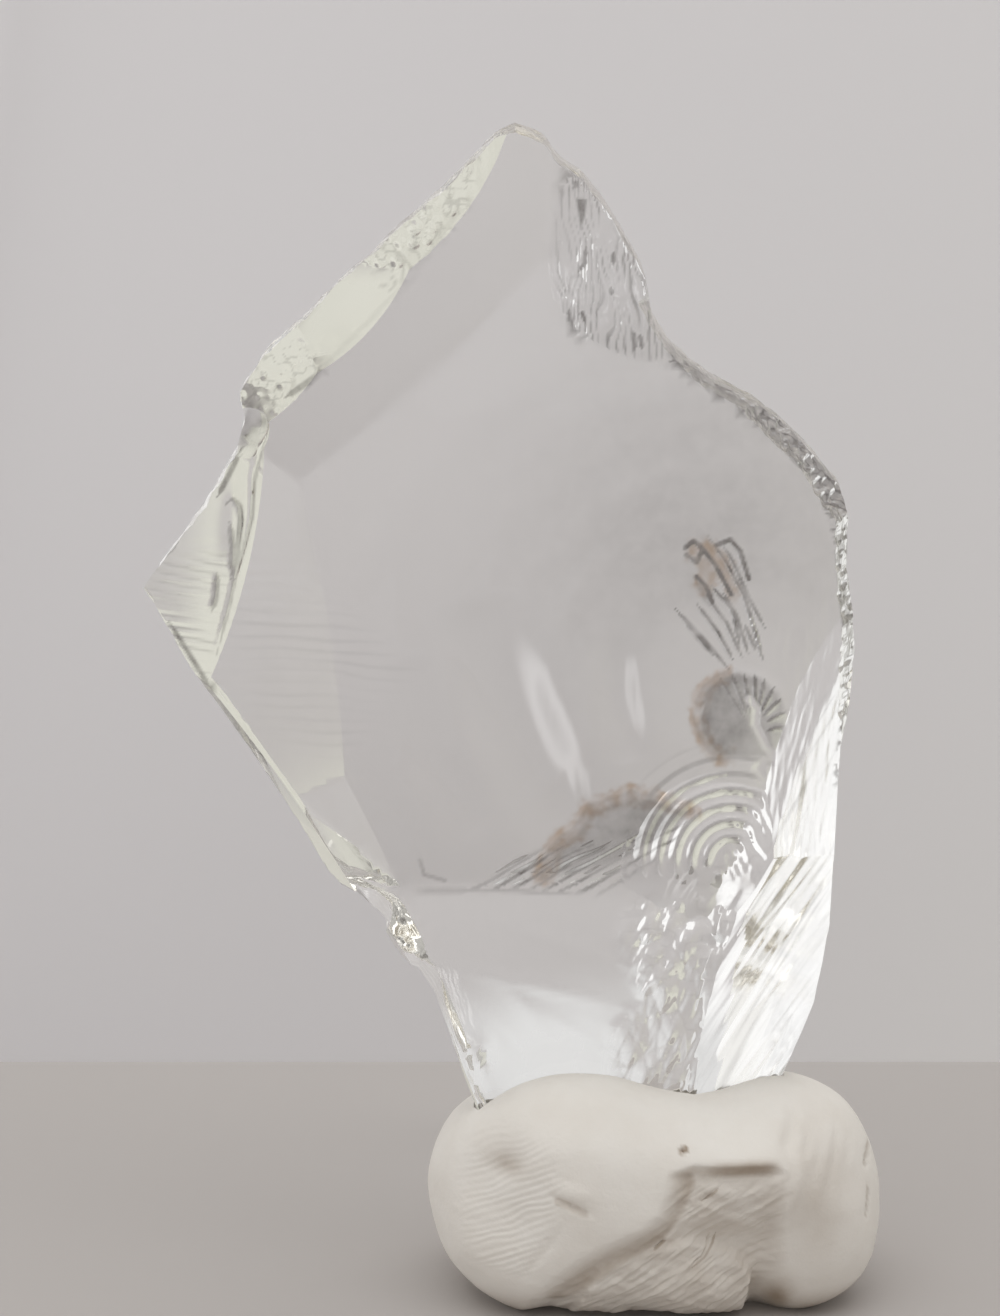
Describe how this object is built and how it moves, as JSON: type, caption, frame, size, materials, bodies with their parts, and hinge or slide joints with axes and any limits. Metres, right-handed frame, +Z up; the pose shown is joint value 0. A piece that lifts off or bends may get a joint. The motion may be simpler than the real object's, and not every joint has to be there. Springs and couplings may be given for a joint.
{
  "type": "clear crystal flake on a putty stand",
  "caption": "Rough flake of clear natural glass, broken on every side, standing on its narrow foot in a pressed lump of white display putty.",
  "frame": {"origin": "on the flat base of the putty, under the middle of the lump", "axes": "+Z up, +Y to the back and +X to the right as the broad face of the crystal is seen"},
  "size_m": [0.052, 0.0242, 0.083],
  "materials": {
    "clear_glass": "fresh conchoidal fracture, glossy, with rippled and hackled zones",
    "white_putty": "matt, pressed by hand, with finger ridges and a little dirt near the base"
  },
  "bodies": {
    "root": {"crystal": "clear_glass", "putty": "white_putty"}
  },
  "joints": []
}
